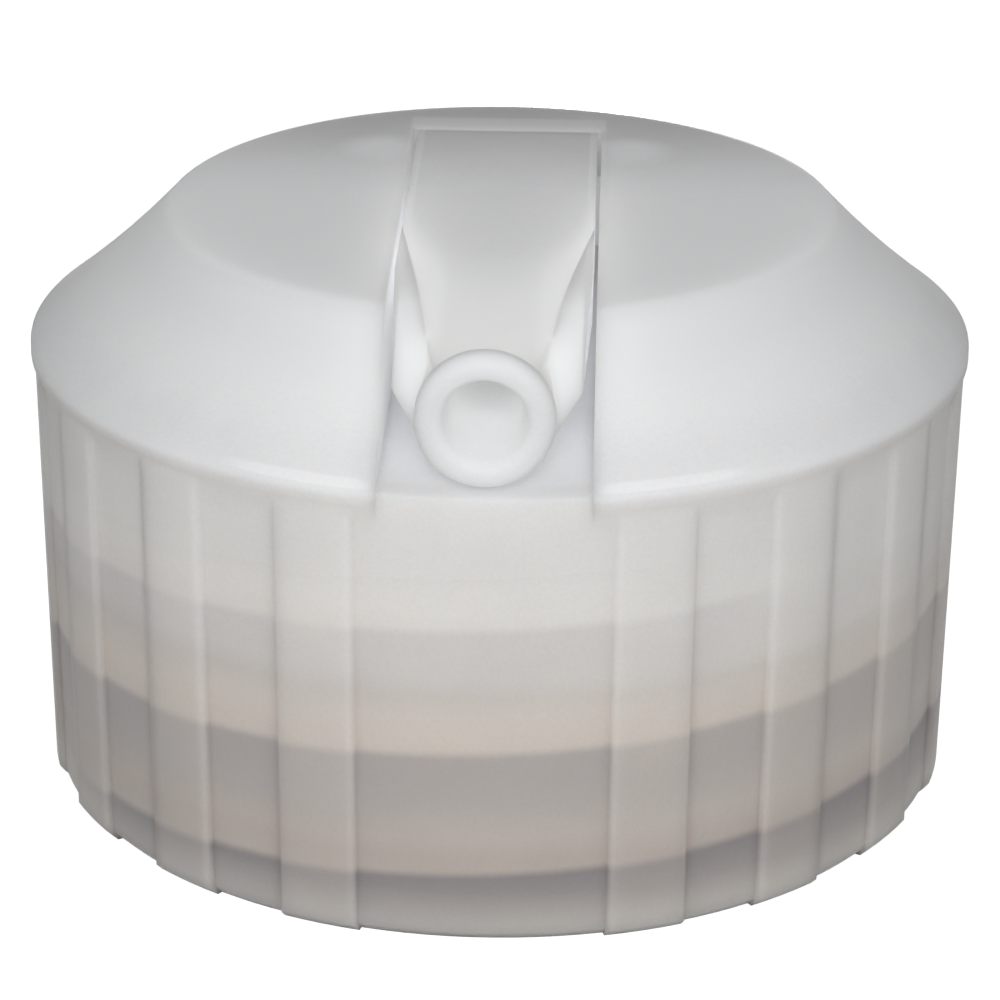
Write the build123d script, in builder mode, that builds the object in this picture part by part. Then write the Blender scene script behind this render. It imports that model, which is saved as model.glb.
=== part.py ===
from build123d import *
from math import acos, atan2, cos, radians, sin, tan
import os

# Flip spout cap for the threaded neck of a bottle, in millimetres.
# The origin is the centre of the open bottom edge and +Z runs up the axis of the cap.
# The spout lies folded in its slot and points along -Y.

# Cap body, inside
bore_radius = 14.0
bore_depth = 13.6
bore_lead_in = 0.3
seal_land_width = 2.4
deck_thickness = 1.4
slot_wall = 1.1
slot_floor = 1.2

# Cap body, outside
skirt_wall = 1.65
skirt_height = 15.45
skirt_draft = 0.23
foot_chamfer = 0.35
rim_band_height = 0.6
rim_band_rise = 0.12
rim_round = 0.3
shoulder_run = 4.72
shoulder_rise = 4.3
shoulder_dish = 0.15
deck_edge_round = 0.5

# Grip ribs around the skirt, of which the one below the spout is left out, angles in degrees
rib_pitch = 20.0
rib_width = 10.0
rib_depth = 0.2
rib_slant = 0.15
rib_run_out = 0.6

# Spout, folded down
pivot_y = 5.7
pivot_below_deck = 2.18
spout_half_width = 2.95
spout_setback = 0.77
taper_start = 7.0
taper_end = 12.0
keel_radius = 2.09
flank_height = 0.45
lip_radius = 2.16
lip_length = 0.9
lip_round = 0.35
lip_back_chamfer = 0.15
neck_radius = 2.05
neck_length = 4.5
mouth_radius = 1.35
mouth_depth = 1.2
mouth_chamfer = 0.15
channel_radius = 1.15
cheek_start = 6.8
cheek_end_setback = 3.37

# Thumb dish in the top of the spout
dish_start = 5.6
dish_slope = 5.5
dish_crown_radius = 9.5
dish_half_width_at_lip = 1.5
dish_flare = 8.0

# Hinge and seat
slot_clearance = 0.35
barrel_clearance = 0.10
barrel_side_clearance = 0.15
pin_radius = 1.2
pin_clearance = 0.05
pin_length = 1.5
pin_end_clearance = 0.15
pin_chamfer = 0.3
socket_wall = 0.9
outlet_radius = 1.0
tail_radius = 3.05
tail_thickness = 0.6
tail_clearance = 0.15

# Worked out from the sizes above
front_angle = -90
total_height = skirt_height + shoulder_rise
band_bottom = skirt_height - rim_band_height
rib_radius = bore_radius + skirt_wall
rim_radius = rib_radius + rim_band_rise
deck_radius = rim_radius - shoulder_run
shoulder_length = (shoulder_run**2 + shoulder_rise**2) ** 0.5
core_radius = bore_radius - seal_land_width
rib_foot_radius = rib_radius - skirt_draft
panel_radius = rib_radius - rib_depth
panel_foot_radius = rib_foot_radius - rib_depth
rib_count = round(360 / rib_pitch)
first_rib_angle = front_angle + rib_pitch - rib_width / 2
pivot_z = total_height - pivot_below_deck
barrel_radius = pivot_below_deck
seat_radius = barrel_radius + barrel_clearance
slot_floor_z = pivot_z - seat_radius
slot_half_width = spout_half_width + slot_clearance
barrel_half_length = slot_half_width - barrel_side_clearance
pin_tip = barrel_half_length + pin_length
socket_end = pin_tip + pin_end_clearance
boss_end = socket_end + socket_wall
socket_radius = pin_radius + pin_clearance
boss_radius = socket_radius + socket_wall
pocket_radius = tail_radius + tail_clearance
pocket_front_y = pivot_y + pivot_below_deck - tail_thickness - tail_clearance
beyond = 5.0
hair = 0.01

pivot_plane = Plane.YZ
front_to_back = Plane.XZ


def shoulder_point(share):
    """A point (radius, height) of the dished shoulder, from the rim at 0 to the deck at 1."""
    sag = 4 * shoulder_dish * share * (1 - share)
    return (
        rim_radius - shoulder_run * share - sag * shoulder_rise / shoulder_length,
        skirt_height + shoulder_rise * share - sag * shoulder_run / shoulder_length,
    )


def core_radius_under_shoulder(height):
    """Radius of the hollow under the deck at a height, one deck thickness inside the shoulder."""
    drop = total_height - height
    return deck_radius + (drop * shoulder_run - deck_thickness * shoulder_length) / shoulder_rise


def core_height_under_shoulder(radius):
    """Height of the roof of that hollow at a radius, one deck thickness inside the shoulder."""
    reach = radius - deck_radius
    return total_height - (reach * shoulder_rise + deck_thickness * shoulder_length) / shoulder_run


# Solid of the outer form, before it is hollowed
with BuildPart() as envelope:
    with BuildSketch(Plane.XZ):
        with BuildLine():
            Polyline(
                (0, total_height),
                (0, 0),
                (panel_foot_radius - foot_chamfer, 0),
                (panel_foot_radius, foot_chamfer),
                (panel_radius, band_bottom - rib_run_out),
                (rib_radius, band_bottom),
                (rim_radius, band_bottom + rim_band_rise),
                (rim_radius, skirt_height),
            )
            ThreePointArc((rim_radius, skirt_height), shoulder_point(0.5), (deck_radius, total_height))
            Line((deck_radius, total_height), (0, total_height))
        make_face()
    revolve(axis=Axis.Z)
    rims = envelope.edges().filter_by(GeomType.CIRCLE)
    fillet(rims.filter_by_position(Axis.Z, skirt_height - hair, skirt_height + hair), rim_round)
    rims = envelope.edges().filter_by(GeomType.CIRCLE)
    fillet(rims.filter_by_position(Axis.Z, total_height - hair, total_height + hair), deck_edge_round)

# One grip rib, reaching from +X round towards +Y, with its foot in the skirt and its top in the rim band
with BuildPart() as rib:
    with BuildSketch(Plane.XZ):
        with BuildLine():
            Polyline(
                (bore_radius + skirt_wall / 2, 0),
                (rib_foot_radius - foot_chamfer, 0),
                (rib_foot_radius, foot_chamfer),
                (rib_radius, band_bottom + rim_band_rise),
                (bore_radius + skirt_wall / 2, band_bottom + rim_band_rise),
                close=True,
            )
        make_face()
    revolve(axis=Axis.Z, revolution_arc=rib_width)
    rib_corners = rib.edges().filter_by(lambda edge: edge.length > band_bottom / 2)
    outer_corners = rib_corners.sort_by_distance((0, 0, total_height / 2))[2:]
    chamfer(outer_corners, rib_slant)

# The rim band is left out over the front panel, as wide as the slot
with BuildPart() as band_gap:
    with BuildSketch(Plane.XY.offset(band_bottom - rib_run_out)):
        Circle(rim_radius + beyond)
        Circle(panel_radius, mode=Mode.SUBTRACT)
    extrude(amount=rib_run_out + rim_band_height + shoulder_rise)
    with Locations((0, -rim_radius, skirt_height)):
        Box(2 * slot_half_width, rim_radius, 2 * total_height, mode=Mode.INTERSECT)

# Slot for the spout, with a round seat for its barrel and a pocket behind it for its tail
with BuildPart() as slot:
    with BuildSketch(pivot_plane):
        with BuildLine():
            Line((-rim_radius - beyond, slot_floor_z), (pivot_y, slot_floor_z))
            RadiusArc((pivot_y, slot_floor_z), (pivot_y + seat_radius, pivot_z), -seat_radius)
            Polyline(
                (pivot_y + seat_radius, pivot_z),
                (pivot_y + seat_radius, total_height + beyond),
                (-rim_radius - beyond, total_height + beyond),
                (-rim_radius - beyond, slot_floor_z),
            )
        make_face()
    extrude(amount=slot_half_width, both=True)
    with BuildSketch(pivot_plane):
        with Locations((pivot_y, pivot_z)):
            Circle(pocket_radius)
        with Locations((pocket_front_y + pocket_radius, pivot_z)):
            Rectangle(2 * pocket_radius, 2 * pocket_radius, mode=Mode.INTERSECT)
    extrude(amount=slot_half_width, both=True)

# Hollow under the deck, around the trough that holds the spout
trough_floor_z = slot_floor_z - slot_floor
trough_back_radius = pocket_radius + slot_floor
trough_half_width = slot_half_width + slot_wall
core_top = total_height - deck_thickness

with BuildPart() as core:
    with BuildSketch(Plane.XZ):
        with BuildLine():
            Polyline(
                (0, bore_depth),
                (core_radius, bore_depth),
                (core_radius, core_height_under_shoulder(core_radius)),
                (core_radius_under_shoulder(core_top), core_top),
                (0, core_top),
                close=True,
            )
        make_face()
    revolve(axis=Axis.Z)
    with BuildSketch(pivot_plane):
        with BuildLine():
            Polyline(
                (-rim_radius, trough_floor_z),
                (pivot_y, trough_floor_z),
                (pivot_y, total_height),
                (-rim_radius, total_height),
                close=True,
            )
        make_face()
        with Locations((pivot_y, pivot_z)):
            Circle(trough_back_radius)
    extrude(amount=trough_half_width, both=True, mode=Mode.SUBTRACT)
    with BuildSketch(pivot_plane):
        with Locations((pivot_y, pivot_z)):
            Circle(boss_radius)
        with Locations((pivot_y, pivot_z + pivot_below_deck / 2)):
            Rectangle(2 * boss_radius, pivot_below_deck)
    extrude(amount=boss_end, both=True, mode=Mode.SUBTRACT)

with BuildPart() as cap_body:
    add(envelope)
    with PolarLocations(0, rib_count - 1, start_angle=first_rib_angle, angular_range=360 - rib_pitch):
        add(rib)
    add(band_gap, mode=Mode.SUBTRACT)
    with BuildSketch(Plane.XY):
        Circle(bore_radius)
    extrude(amount=bore_depth, mode=Mode.SUBTRACT)
    mouth_edge = cap_body.edges().filter_by(GeomType.CIRCLE).group_by(Axis.Z)[0].sort_by(SortBy.RADIUS)[0]
    chamfer(mouth_edge, bore_lead_in)
    add(core, mode=Mode.SUBTRACT)
    add(slot, mode=Mode.SUBTRACT)
    with BuildSketch(pivot_plane):
        with Locations((pivot_y, pivot_z)):
            Circle(socket_radius)
    extrude(amount=socket_end, both=True, mode=Mode.SUBTRACT)
    with Locations((0, pivot_y, pivot_z - seat_radius)):
        Cylinder(outlet_radius, 2 * beyond, mode=Mode.SUBTRACT)

cap_body.part.label = "cap_body"

# Spout body: flat sides, flanks that lean in below them, and a round keel tangent to the flanks
flank_turn = atan2(flank_height, barrel_half_length) - acos(
    keel_radius / (barrel_half_length**2 + flank_height**2) ** 0.5
)
keel_x = keel_radius * cos(flank_turn)
keel_z = pivot_z + keel_radius * sin(flank_turn)
spout_reach = rim_radius - spout_setback
mouth_y = -spout_reach
lip_back_y = mouth_y + lip_length
channel_axis = Axis((0, 0, pivot_z), (0, 1, 0))

with BuildPart() as spout_trim:
    with BuildSketch(Plane.XZ):
        with BuildLine():
            Line((0, total_height), (cheek_start, total_height))
            meet_share = cheek_end_setback / shoulder_run
            meet = shoulder_point(meet_share)
            Spline(
                (cheek_start, total_height),
                meet,
                tangents=[(1, 0), (shoulder_run, -shoulder_rise)],
            )
            ThreePointArc(meet, shoulder_point(meet_share / 2), (rim_radius, skirt_height))
            Polyline((rim_radius, skirt_height), (rim_radius, slot_floor_z), (0, slot_floor_z), (0, total_height))
        make_face()
    revolve(axis=Axis.Z)

# Outline of the spout from above: as wide as the barrel at the back and drawn in at the nozzle
with BuildPart() as spout_plan:
    with BuildSketch(Plane.XY.offset(slot_floor_z)):
        with BuildLine():
            Polyline(
                (barrel_half_length, pivot_y),
                (barrel_half_length, -taper_start),
                (spout_half_width, -taper_end),
                (spout_half_width, mouth_y),
                (-spout_half_width, mouth_y),
                (-spout_half_width, -taper_end),
                (-barrel_half_length, -taper_start),
                (-barrel_half_length, pivot_y),
                close=True,
            )
        make_face()
    extrude(amount=total_height - slot_floor_z)

# The wedge between the cheeks, seen from above
with BuildSketch(Plane.XY.offset(pivot_z)) as between_cheeks:
    wedge_front_y = mouth_y + lip_length / 2
    wedge_rear_half_width = dish_half_width_at_lip - tan(radians(dish_flare)) * wedge_front_y
    with BuildLine():
        Polyline(
            (-wedge_rear_half_width, 0),
            (-dish_half_width_at_lip, wedge_front_y),
            (dish_half_width_at_lip, wedge_front_y),
            (wedge_rear_half_width, 0),
            close=True,
        )
    make_face()

with BuildPart() as dish:
    extrude(between_cheeks.sketch, amount=beyond)
    with BuildSketch(
        Plane(
            origin=(0, -dish_start, total_height),
            x_dir=(1, 0, 0),
            z_dir=(0, cos(radians(dish_slope)), sin(radians(dish_slope))),
        )
    ):
        with Locations((0, dish_crown_radius)):
            Circle(dish_crown_radius)
    extrude(amount=2 * rim_radius, both=True, mode=Mode.SUBTRACT)

# Neck behind the lip: round, with a wedge on it that carries the floor of the dish on into the lip
with BuildPart() as neck:
    neck_plane = front_to_back.offset(spout_reach - neck_length)
    extrude(between_cheeks.sketch, amount=total_height - pivot_z)
    split(bisect_by=neck_plane)
    with BuildSketch(neck_plane):
        with Locations((0, pivot_z)):
            Circle(neck_radius)
    extrude(amount=neck_length - lip_length / 2)

# Barrel and its two pins, turned about the hinge axis
with BuildPart() as barrel:
    with BuildSketch(Plane.XZ.offset(-pivot_y)):
        with BuildLine():
            half = Polyline(
                (0, pivot_z + barrel_radius),
                (barrel_half_length, pivot_z + barrel_radius),
                (barrel_half_length, pivot_z + pin_radius),
                (pin_tip - pin_chamfer, pivot_z + pin_radius),
                (pin_tip, pivot_z + pin_radius - pin_chamfer),
                (pin_tip, pivot_z),
            )
            mirror(half, about=Plane.YZ)
            Line((-pin_tip, pivot_z), (pin_tip, pivot_z))
        make_face()
    revolve(axis=Axis((0, pivot_y, pivot_z), (1, 0, 0)))

# Tail of the spout, which covers the gap behind the barrel and swings down when it opens
with BuildPart() as tail:
    with BuildSketch(pivot_plane):
        with Locations((pivot_y, pivot_z)):
            Circle(tail_radius)
        with Locations((pivot_y + tail_radius / 2, total_height - tail_thickness / 2)):
            Rectangle(tail_radius, tail_thickness, mode=Mode.INTERSECT)
    extrude(amount=barrel_half_length, both=True)

with BuildPart() as flip_spout:
    with BuildSketch(front_to_back.offset(-pivot_y)):
        with BuildLine():
            Polyline(
                (-keel_x, keel_z),
                (-barrel_half_length, pivot_z + flank_height),
                (-barrel_half_length, total_height),
                (barrel_half_length, total_height),
                (barrel_half_length, pivot_z + flank_height),
                (keel_x, keel_z),
            )
            ThreePointArc((keel_x, keel_z), (0, pivot_z - keel_radius), (-keel_x, keel_z))
        make_face()
    extrude(amount=pivot_y + spout_reach - lip_length / 2)
    add(spout_plan, mode=Mode.INTERSECT)
    add(spout_trim, mode=Mode.INTERSECT)
    add(neck)
    add(dish, mode=Mode.SUBTRACT)
    with BuildSketch(pivot_plane) as lip_section:
        with BuildLine():
            Polyline(
                (mouth_y, pivot_z),
                (mouth_y, pivot_z + lip_radius),
                (lip_back_y, pivot_z + lip_radius),
                (lip_back_y, pivot_z),
                close=True,
            )
        make_face()
        lip_corners = lip_section.vertices().group_by(Axis.Y)[-1].sort_by(Axis.X)
        fillet(lip_corners[0], lip_round)
        lip_corners = lip_section.vertices().group_by(Axis.Y)[-1].sort_by(Axis.X)
        chamfer(lip_corners[-1], lip_back_chamfer)
    revolve(axis=channel_axis)
    add(barrel)
    add(tail)
    with BuildSketch(pivot_plane):
        with BuildLine():
            Polyline(
                (mouth_y, pivot_z + mouth_radius + mouth_chamfer),
                (mouth_y + mouth_chamfer, pivot_z + mouth_radius),
                (mouth_y + mouth_depth, pivot_z + channel_radius),
                (rim_radius, pivot_z + channel_radius),
                (rim_radius, pivot_z),
                (mouth_y, pivot_z),
                close=True,
            )
        make_face()
    revolve(axis=channel_axis, mode=Mode.SUBTRACT)

flip_spout.part.label = "flip_spout"

os.makedirs("parts", exist_ok=True)
export_step(cap_body.part, "parts/cap_body.step")
export_step(flip_spout.part, "parts/flip_spout.step")
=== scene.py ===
from math import pi, radians, tau

import bpy
from mathutils import Matrix, Vector


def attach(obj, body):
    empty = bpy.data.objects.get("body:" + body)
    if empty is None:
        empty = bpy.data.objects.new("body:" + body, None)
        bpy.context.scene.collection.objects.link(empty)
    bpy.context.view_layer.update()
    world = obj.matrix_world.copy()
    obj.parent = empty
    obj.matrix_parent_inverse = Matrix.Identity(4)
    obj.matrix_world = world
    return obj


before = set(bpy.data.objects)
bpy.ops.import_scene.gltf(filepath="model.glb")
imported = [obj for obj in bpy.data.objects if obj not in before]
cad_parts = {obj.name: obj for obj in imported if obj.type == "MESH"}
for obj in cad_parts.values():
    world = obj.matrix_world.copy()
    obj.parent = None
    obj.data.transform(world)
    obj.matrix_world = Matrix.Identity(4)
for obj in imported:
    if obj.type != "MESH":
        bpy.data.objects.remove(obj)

bpy.context.view_layer.update()
scene = bpy.context.scene
scene.view_settings.view_transform = "Standard"
scene.cycles.max_bounces = 40
scene.cycles.diffuse_bounces = 32


# Camera
# The photograph was taken from a little above the front with a long lens, a hair to the right
# of the nozzle and turned by half a degree. The distances, in metres from the middle of the
# open bottom edge, come from fitting the rim, the deck and the skirt to the outline.
camera_turn = radians(1.7)
camera_back = 0.127372
camera_height = 0.061397
camera_roll = radians(0.454)
camera_aim = Vector((0.000047, 0.0, 0.0089445))

camera_data = bpy.data.cameras.new("photo_camera")
camera_data.sensor_width = 36.0
camera_data.lens = 144.108
camera_data.clip_start = 0.01
camera_data.clip_end = 10.0
camera = bpy.data.objects.new("photo_camera", camera_data)
scene.collection.objects.link(camera)
scene.camera = camera
turned = Matrix.Rotation(camera_turn, 3, "Z")
stand = turned @ Vector((0.0, -camera_back, camera_height))
facing = (turned @ camera_aim - stand).to_track_quat("-Z", "Y").to_matrix()
facing = facing @ Matrix.Rotation(camera_roll, 3, "Z")
camera.matrix_world = Matrix.Translation(stand) @ facing.to_4x4()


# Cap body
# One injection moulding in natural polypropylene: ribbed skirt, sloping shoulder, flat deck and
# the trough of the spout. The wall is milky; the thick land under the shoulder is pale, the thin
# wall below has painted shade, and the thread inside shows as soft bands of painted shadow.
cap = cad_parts["cap_body"]
mm = 0.001
deck_height = 19.75
rim_height = 15.45
panel_foot_radius = 15.22
panel_lean = 0.0155
rib_depth = 0.2
slot_half_width = 3.3
slot_floor_height = 15.29
slot_mouth = (-15.3, -12.5)
slot_rear_half = (-8.0, -3.0)
slot_end = 9.2
socket_x = 4.3
socket_y = 5.7
socket_spot = (0.4, 1.9)
thread_pitch = 4.23
thread_front_height = 3.15
thread_first_turn = -1 / 6
thread_last_turn = 2.1

# Its milky tones, with painted shade greying the shoulder and deck to the rear and painted light
# over the sockets, and those of the skirt, with painted shade, by their share of the height
shoulder_foot_milk = (0.89, 0.89, 0.895, 1.0)
shoulder_milk = (0.995, 0.995, 1.0, 1.0)
shoulder_rear_shade = (0.78, 0.78, 0.785, 1.0)
deck_milk = (0.98, 0.98, 0.985, 1.0)
deck_rear_shade = (0.49, 0.49, 0.50, 1.0)
socket_painted_light = (0.90, 0.905, 0.91, 1.0)
inner_milk = (0.95, 0.94, 0.93, 1.0)
rib_painted_light = (0.80, 0.77, 0.74, 1.0)
rib_painted_light_share = 0.06
# The painted shadow of the thread seen through the wall, also the grey that the mottle darkens towards
thread_shadow_and_mottle_grey = (0.60, 0.62, 0.68, 1.0)
cap_painted_glow = (0.06, 0.06, 0.059, 1.0)
dark = (0.0, 0.0, 0.0, 1.0)
wall_painted_shades = (
    (0.0, (0.80, 0.745, 0.68)),
    (0.09, (0.58, 0.53, 0.49)),
    (0.15, (0.56, 0.505, 0.47)),
    (0.23, (0.62, 0.575, 0.54)),
    (0.36, (0.72, 0.66, 0.605)),
    (0.435, (0.73, 0.68, 0.64)),
    (0.47, (0.79, 0.755, 0.72)),
    (0.582, (0.87, 0.835, 0.79)),
    (0.76, (0.81, 0.80, 0.785)),
)


class Socket:
    """An output socket of a node tree. Its operators add Math nodes, and node() adds any other."""

    def __init__(self, tree, socket=None):
        self.tree = tree
        self.socket = socket

    def node(self, kind, values=(), output=0, stops=(), **settings):
        """Adds a node: its settings and ramp stops first, then the values or links of its sockets."""
        made = self.tree.nodes.new(kind)
        for name, setting in settings.items():
            setattr(made, name, setting)
        for index, (place, colour) in enumerate(stops):
            ramp = made.color_ramp.elements
            stop = ramp[index] if index < len(ramp) else ramp.new(place)
            stop.position = place
            stop.color = (*colour, 1.0)
        for name, value in dict(values).items():
            if isinstance(value, Socket):
                self.tree.links.new(value.socket, made.inputs[name])
            else:
                made.inputs[name].default_value = value
        return Socket(self.tree, made.outputs[output] if made.outputs else None)

    def other(self, output):
        """Another output of the same node."""
        return Socket(self.tree, self.socket.node.outputs[output])

    def math(self, operation, *others):
        return self.node("ShaderNodeMath", enumerate((self, *others)), operation=operation)

    def __add__(self, other):
        return self.math("ADD", other)

    def __sub__(self, other):
        return self.math("SUBTRACT", other)

    def __mul__(self, other):
        return self.math("MULTIPLY", other)

    def __truediv__(self, other):
        return self.math("DIVIDE", other)

    def __radd__(self, other):
        return self + other

    def __rmul__(self, other):
        return self * other

    def __rsub__(self, other):
        return self.node("ShaderNodeMath", enumerate((other, self)), operation="SUBTRACT")

    def rise(self, low, high):
        """0 below low and 1 above high, with a soft step between them."""
        values = {"Value": self, "From Min": low, "From Max": high}
        return self.node("ShaderNodeMapRange", values, interpolation_type="SMOOTHSTEP")

    def fall(self, low, high):
        """1 below low and 0 above high, with a soft step between them."""
        return 1.0 - self.rise(low, high)

    def diagonal(self, other):
        """The distance that two distances at right angles make."""
        return (self * self + other * other).math("SQRT")

    def blend(self, colour, other_colour, blend_type="MIX"):
        """A colour turned into another one by this factor."""
        values = {0: self, 6: colour, 7: other_colour}
        return self.node("ShaderNodeMix", values, 2, data_type="RGBA", blend_type=blend_type)


# The plastic and its satin skin, in mm: how far light goes in it, how soft its edges look, and
# the size of the fine grain and of the broad clouds that vary its gloss and its tone. Its painted
# glow, which stands in for light carried through the plastic, is too faint to be sampled as a lamp,
# which keeps the render quick.
milk_depth = 3.0
edge_softness = 0.6
grain_per_mm = 9.0
grain_height = 0.02
clouds_per_mm = 0.35
roughness_base = 0.42
roughness_by_grain = 0.08
roughness_by_cloud = 0.04
mottle_by_grain = 0.08
mottle_by_cloud = 0.06


def natural_polypropylene(name):
    """Milky polypropylene with a satin moulded skin: its material, shader, place in mm and mottle."""
    plastic = bpy.data.materials.new(name)
    plastic.use_nodes = True
    plastic.cycles.emission_sampling = "NONE"
    tree = plastic.node_tree
    shader = tree.nodes["Principled BSDF"]
    shader.inputs["IOR"].default_value = 1.49
    shader.inputs["Specular IOR Level"].default_value = 0.08
    shader.inputs["Subsurface Weight"].default_value = 1.0
    shader.inputs["Subsurface Radius"].default_value = (1.0, 0.9, 0.8)
    shader.inputs["Subsurface Scale"].default_value = milk_depth * mm
    shader.inputs["Emission Strength"].default_value = 1.0
    start = Socket(tree)
    metres = start.node("ShaderNodeTexCoord", output="Object")
    place = start.node("ShaderNodeVectorMath", {0: metres, "Scale": 1.0 / mm}, operation="SCALE")
    grain = start.node("ShaderNodeTexNoise", {"Vector": place, "Scale": grain_per_mm, "Detail": 3.0})
    cloud = start.node("ShaderNodeTexNoise", {"Vector": place, "Scale": clouds_per_mm, "Detail": 2.0})
    roughness = roughness_base + grain * roughness_by_grain + cloud * roughness_by_cloud
    tree.links.new(roughness.socket, shader.inputs["Roughness"])
    softened = start.node("ShaderNodeBevel", {"Radius": edge_softness * mm}, samples=4)
    skin = {"Height": grain, "Strength": 0.12, "Distance": grain_height * mm, "Normal": softened}
    bump = start.node("ShaderNodeBump", skin)
    tree.links.new(bump.socket, shader.inputs["Normal"])
    mottle = cloud.rise(0.35, 0.65) * mottle_by_cloud + grain.rise(0.3, 0.7) * mottle_by_grain
    return plastic, shader, place, mottle


# Where the painted shade greys the deck and the shoulder to the rear, in mm along y
deck_shade_span = (-1.0, 12.0)
shoulder_shade_span = (-3.0, 7.0)


def deck_painted_shade(y):
    """Painted shade: the deck and the top of the spout are greyer to the rear, over the hollow behind
    the hinge.
    """
    return y.rise(*deck_shade_span).blend(deck_milk, deck_rear_shade)


plastic, shader, place, mottle = natural_polypropylene("cap_polypropylene")
x = place.node("ShaderNodeSeparateXYZ", {0: place})
y = x.other("Y")
height = x.other("Z")
beside = x.math("ABSOLUTE")
radius = x.diagonal(y)
around = x.math("ARCTAN2", 0.0 - y) / tau

# Painted shade: the wall is warmer and greyer lower down, where it is thin, and painted light
# makes a rib a little paler
wall = place.node("ShaderNodeValToRGB", {0: height / deck_height}, stops=wall_painted_shades)
panel_radius = height * panel_lean + panel_foot_radius
on_rib = (radius - panel_radius).rise(0.25 * rib_depth, 0.75 * rib_depth)
wall = (on_rib * rib_painted_light_share).blend(wall, rib_painted_light)

# The shadow of the thread, by shares of a turn above its crest: it deepens up to the foot of the
# next crest, and is weaker higher up, where the wall is thicker, and on a rib. Up to crest_reach
# it belongs to the crest below and above that to the next one, and it ends where its crest does.
shadow_start = 0.14
shadow_growth = 0.66
shadow_end = (0.78, 0.88)
shadow_heights = (2.0, 11.0)
lost_by_height = 0.7
lost_on_rib = 0.35
crest_reach = 0.25
turns = (height - thread_front_height) / thread_pitch - around
above_crest = turns.math("FRACT")
crest_turn = (turns - crest_reach).math("CEIL") + around
deepening = ((above_crest - shadow_start) / shadow_growth).math("MAXIMUM", 0.0).math("MINIMUM", 1.0)
threaded = crest_turn.rise(thread_first_turn - 0.03, thread_first_turn + 0.03)
threaded = threaded * crest_turn.fall(thread_last_turn - 0.04, thread_last_turn + 0.02)
shade = deepening * above_crest.fall(*shadow_end) * threaded
shade = shade * (1.0 - lost_by_height * height.rise(*shadow_heights)) * (1.0 - lost_on_rib * on_rib)
wall = shade.blend(wall, thread_shadow_and_mottle_grey, "MULTIPLY")

# The bore is plain and pale inside the wall
bore_side = (14.1, 14.7)
skirt = radius.rise(*bore_side).blend(inner_milk, wall)

# Above the rim: the solid shoulder, and the deck, with painted shade greyer to the rear and
# painted light pale over the sockets
shoulder_start = (rim_height - 0.35, rim_height - 0.05)
deck_start = (deck_height - 0.3, deck_height - 0.1)
shoulder = height.rise(rim_height, deck_height - 1.5).blend(shoulder_foot_milk, shoulder_milk)
shoulder = y.rise(*shoulder_shade_span).blend(shoulder, shoulder_rear_shade)
from_socket = (beside - socket_x).diagonal(y - socket_y)
# Painted light: a pale spot on the deck over each socket
deck = from_socket.fall(*socket_spot).blend(deck_painted_shade(y), socket_painted_light)
colour = height.rise(*shoulder_start).blend(skirt, shoulder)
colour = height.rise(*deck_start).blend(colour, deck)
colour = mottle.blend(colour, thread_shadow_and_mottle_grey, "MULTIPLY")
plastic.node_tree.links.new(colour.socket, shader.inputs["Base Color"])

# Painted glow, for the light that gathers in the thick shoulder and under the deck and comes out
# in the slot, more towards the hinge; brightest is a painted glint along the rim beside the slot
shoulder_painted_glow = 0.8
deck_painted_glow = 0.9
slot_front_painted_glow = 0.45
slot_rear_painted_glow = 1.05
rim_painted_glint = 3.0
rim_glint_reach = (6.0, 8.5)
in_slot = (
    beside.fall(slot_half_width + 0.05, slot_half_width + 0.2)
    * height.rise(slot_floor_height - 1.0, slot_floor_height + 2.0)
    * y.rise(*slot_mouth)
    * (slot_front_painted_glow + slot_rear_painted_glow * y.rise(*slot_rear_half))
    * y.fall(slot_end, slot_end + 0.3)
)
in_shoulder = (
    height.rise(rim_height + 0.4, deck_height - 1.5)
    * height.fall(deck_height - 0.4, deck_height - 0.1)
    * y.fall(-2.0, 6.0)
)
on_deck = height.rise(*deck_start) * y.fall(-1.0, 10.0)
at_rim = (
    height.rise(rim_height, rim_height + 0.1)
    * height.fall(rim_height + 0.15, rim_height + 0.3)
    * beside.rise(slot_half_width, slot_half_width + 1.0)
    * beside.fall(*rim_glint_reach)
)
glow = in_shoulder * shoulder_painted_glow + on_deck * deck_painted_glow + in_slot + at_rim * rim_painted_glint
glow = glow.blend(dark, cap_painted_glow)
plastic.node_tree.links.new(glow.socket, shader.inputs["Emission Color"])
cap.data.materials[0] = plastic


# Neck thread
# The right-handed thread on the inside of the skirt, moulded in one with it. It winds a little
# over two turns, with a trapezium section, and each end fades into the wall.
thread_root_radius = 14.0
thread_crest_radius = 12.85
thread_sunk = 0.12
thread_root_width = 2.3
thread_crest_width = 0.9
thread_fade_turns = 0.12
thread_steps = 240
thread_tip_size = 0.04
thread_painted_glow = (0.035, 0.035, 0.035, 1.0)

thread_tree = bpy.data.node_groups.new("neck_thread", "GeometryNodeTree")
thread_sizes = {
    "Root radius": thread_root_radius * mm,
    "Profile depth": (thread_root_radius + thread_sunk - thread_crest_radius) * mm,
    "Sunk": thread_sunk * mm,
    "Root width": thread_root_width * mm,
    "Crest width": thread_crest_width * mm,
    "Pitch": thread_pitch * mm,
    "Front height": thread_front_height * mm,
    "First turn": thread_first_turn,
    "Last turn": thread_last_turn,
    "Fade turns": thread_fade_turns,
}
for name in thread_sizes:
    thread_tree.interface.new_socket(name, in_out="INPUT", socket_type="NodeSocketFloat")
thread_tree.interface.new_socket("Plastic", in_out="INPUT", socket_type="NodeSocketMaterial")
thread_tree.interface.new_socket("Thread", in_out="OUTPUT", socket_type="NodeSocketGeometry")
sizes = Socket(thread_tree).node("NodeGroupInput")

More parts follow.
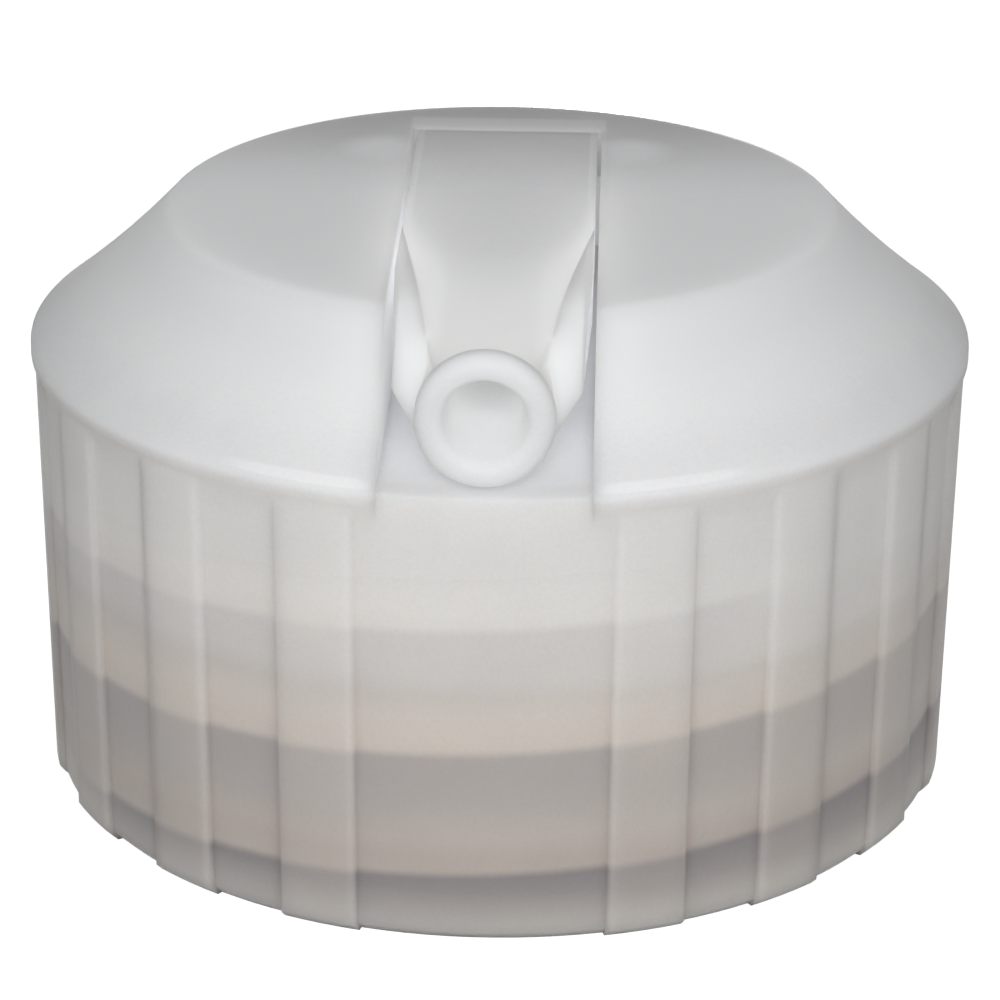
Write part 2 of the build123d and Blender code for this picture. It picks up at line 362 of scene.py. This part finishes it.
# The helix at the root of the thread, with the front of the cap at each whole turn
line = sizes.node("GeometryNodeCurvePrimitiveLine")
line = sizes.node("GeometryNodeResampleCurve", {"Curve": line, "Count": thread_steps})
share = sizes.node("GeometryNodeSplineParameter", output="Factor")
turn = sizes.other("First turn") + share * (sizes.other("Last turn") - sizes.other("First turn"))
angle = turn * tau - pi / 2
point = {
    "X": angle.math("COSINE") * sizes.other("Root radius"),
    "Y": angle.math("SINE") * sizes.other("Root radius"),
    "Z": sizes.other("Front height") + turn * sizes.other("Pitch"),
}
point = sizes.node("ShaderNodeCombineXYZ", point)
helix = sizes.node("GeometryNodeSetPosition", {"Geometry": line, "Position": point})
helix = sizes.node("GeometryNodeSetCurveNormal", {"Curve": helix}, mode="Z_UP")

# Its section, turned with the crest inwards and sunk a little into the wall
section = {
    "Height": sizes.other("Profile depth"),
    "Bottom Width": sizes.other("Root width"),
    "Top Width": sizes.other("Crest width"),
    "Offset": 0.0,
}
section = sizes.node("GeometryNodeCurvePrimitiveQuadrilateral", section, mode="TRAPEZOID")
shift = sizes.node("ShaderNodeCombineXYZ", {"Y": sizes.other("Profile depth") / 2 - sizes.other("Sunk")})
section = sizes.node("GeometryNodeTransform", {"Geometry": section, "Translation": shift})
section = sizes.node("GeometryNodeTransform", {"Geometry": section, "Rotation": (0.0, 0.0, pi / 2)})
fade_in = ((turn - sizes.other("First turn")) / sizes.other("Fade turns")).rise(0.0, 1.0)
fade_out = ((sizes.other("Last turn") - turn) / sizes.other("Fade turns")).rise(0.0, 1.0)
scale = thread_tip_size + (1.0 - thread_tip_size) * fade_in * fade_out
solid = {"Curve": helix, "Profile Curve": section, "Scale": scale, "Fill Caps": True}
solid = sizes.node("GeometryNodeCurveToMesh", solid)
solid = sizes.node("GeometryNodeRealizeInstances", {"Geometry": solid})
solid = sizes.node("GeometryNodeSetMaterial", {"Geometry": solid, "Material": sizes.other("Plastic")})
solid.node("NodeGroupOutput", {"Thread": solid})

thread_plastic, shader, place, mottle = natural_polypropylene("thread_polypropylene")
colour = mottle.blend(inner_milk, thread_shadow_and_mottle_grey, "MULTIPLY")
thread_plastic.node_tree.links.new(colour.socket, shader.inputs["Base Color"])
shader.inputs["Subsurface Weight"].default_value = 0.0
# Painted glow for the light that comes through the wall onto the thread
shader.inputs["Emission Color"].default_value = thread_painted_glow
thread_maker = bpy.data.objects.new("thread_maker", bpy.data.meshes.new("thread_maker"))
scene.collection.objects.link(thread_maker)
maker = thread_maker.modifiers.new("thread", "NODES")
maker.node_group = thread_tree
for item in thread_tree.interface.items_tree:
    if item.in_out == "INPUT":
        maker[item.identifier] = thread_sizes.get(item.name, thread_plastic)
evaluated = thread_maker.evaluated_get(bpy.context.evaluated_depsgraph_get())
thread_mesh = bpy.data.meshes.new_from_object(evaluated)
bpy.data.objects.remove(thread_maker)
thread_mesh.shade_smooth()
thread_mesh.set_sharp_from_angle(angle=radians(25))
thread = bpy.data.objects.new("neck_thread", thread_mesh)
scene.collection.objects.link(thread)
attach(thread, "cap")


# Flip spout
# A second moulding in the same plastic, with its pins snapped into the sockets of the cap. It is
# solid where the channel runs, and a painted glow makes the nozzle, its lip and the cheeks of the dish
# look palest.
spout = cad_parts["flip_spout"]
channel_height = 17.57
channel_side = (1.2, 1.8)
lip_face = (-14.2, -13.4)
lip_bore = (1.35, 1.5)
dish_front = (-14.6, -12.8)
cheek_side = (1.3, 1.9)
cheek_heights = (17.8, 19.2)
cheek_end = (-2.0, 3.0)
flank_side = (2.85, 2.94)
flank_start = (-9.0, -4.0)
tongue_end = (-4.0, 5.0)
spout_milk = (0.97, 0.97, 0.965, 1.0)
spout_painted_glow = (0.12, 0.12, 0.1175, 1.0)
plastic, shader, place, mottle = natural_polypropylene("spout_polypropylene")
x = place.node("ShaderNodeSeparateXYZ", {0: place})
y = x.other("Y")
height = x.other("Z")
beside = x.math("ABSOLUTE")
below_deck = (deck_height - height).rise(0.05, 0.8)
colour = below_deck.blend(deck_painted_shade(y), spout_milk)
colour = mottle.blend(colour, thread_shadow_and_mottle_grey, "MULTIPLY")
plastic.node_tree.links.new(colour.socket, shader.inputs["Base Color"])

# Painted glow, for the light that gathers in the dish and most in its cheeks, less on the flat
# tongue behind it, on the flanks in the slot and in the lip, and least in the channel
above_axis = height - channel_height
from_axis = x.diagonal(above_axis)
off_flank = beside.fall(*flank_side)
in_cheek = beside.rise(*cheek_side) * height.rise(*cheek_heights) * y.fall(*cheek_end)
in_dish = (deck_height - height).rise(0.0, 0.4) * y.rise(*dish_front) * from_axis.rise(*channel_side)
in_dish = in_dish * off_flank * (0.6 + 0.6 * in_cheek)
on_tongue = (1.0 - below_deck) * y.fall(*tongue_end) * 0.3
on_flank = (1.0 - off_flank) * y.rise(*flank_start) * 0.5
on_lip = above_axis.rise(0.3, 1.6) * y.fall(*lip_face) * from_axis.rise(*lip_bore) * 0.45
in_channel = from_axis.fall(*channel_side) * (0.05 + 0.3 * above_axis.rise(-0.3, 1.2))
glow = (in_dish + on_tongue + on_flank + on_lip + in_channel).blend(dark, spout_painted_glow)
plastic.node_tree.links.new(glow.socket, shader.inputs["Emission Color"])
spout.data.materials[0] = plastic


# Floor
# A plain pale sheet just under the cap, which shows nearly white and keeps the shadow. It is
# clear from below, so that the open side of the cap can be looked into.
floor_reach = 2.0
floor_drop = 0.02 * mm
floor_grey = (0.5, 0.5, 0.5, 1.0)
floor_light = 0.88


def backdrop_rays(tree):
    """1 for the rays that show the background: from the camera, off a gloss or through glass."""
    rays = Socket(tree).node("ShaderNodeLightPath", output="Is Camera Ray")
    shown = rays + rays.other("Is Glossy Ray") + rays.other("Is Transmission Ray")
    return shown.math("MINIMUM", 1.0)


corners = [(-floor_reach, -floor_reach, 0), (floor_reach, -floor_reach, 0)]
corners += [(floor_reach, floor_reach, 0), (-floor_reach, floor_reach, 0)]
floor_mesh = bpy.data.meshes.new("floor")
floor_mesh.from_pydata(corners, [], [(0, 1, 2, 3)])
floor = bpy.data.objects.new("floor", floor_mesh)
floor.location.z = -floor_drop
scene.collection.objects.link(floor)
floor_paint = bpy.data.materials.new("floor_paint")
floor_paint.use_nodes = True
floor_paint.cycles.emission_sampling = "NONE"
tree = floor_paint.node_tree
tree.nodes.remove(tree.nodes["Principled BSDF"])
shown = backdrop_rays(tree)
sheet = shown.node("ShaderNodeBsdfDiffuse", {"Color": floor_grey})
glow = shown.node("ShaderNodeEmission", {"Color": (1.0, 1.0, 1.0, 1.0), "Strength": shown * floor_light})
both = shown.node("ShaderNodeAddShader", {0: sheet, 1: glow})
from_below = shown.node("ShaderNodeNewGeometry", output="Backfacing")
clear = shown.node("ShaderNodeBsdfTransparent")
surface = shown.node("ShaderNodeMixShader", {0: from_below, 1: both, 2: clear})
tree.links.new(surface.socket, tree.nodes["Material Output"].inputs["Surface"])
floor_mesh.materials.append(floor_paint)


# Light
# A small soft lamp at the camera's place, like a ring flash, a low weak one behind the cap, which
# lights its rear wall, and a pale room that shows white behind it.
room_light = 0.28
lamp_aim = Vector((0.0, 0.0, 0.012))
world = bpy.data.worlds.new("studio")
scene.world = world
world.use_nodes = True
tree = world.node_tree
room = tree.nodes["Background"]
room.inputs["Color"].default_value = (1.0, 1.0, 1.0, 1.0)
strength = backdrop_rays(tree) * (1.0 - room_light) + room_light
tree.links.new(strength.socket, room.inputs["Strength"])


def lamp(name, distance, azimuth, elevation, size, power):
    """A round area lamp that shines on the middle of the cap. Azimuth 0 is the front."""
    data = bpy.data.lights.new(name, "AREA")
    data.shape = "DISK"
    data.size = size
    data.energy = power
    placed = bpy.data.objects.new(name, data)
    scene.collection.objects.link(placed)
    turn = Matrix.Rotation(radians(azimuth), 3, "Z") @ Matrix.Rotation(radians(-elevation), 3, "X")
    away = turn @ Vector((0.0, -distance, 0.0))
    facing = (-away).to_track_quat("-Z", "Y").to_matrix()
    placed.matrix_world = Matrix.Translation(away + lamp_aim) @ facing.to_4x4()


lamp("key", distance=0.15, azimuth=1.7, elevation=25.8, size=0.04, power=0.115)
lamp("fill", distance=0.40, azimuth=180.0, elevation=0.0, size=0.015, power=0.60)
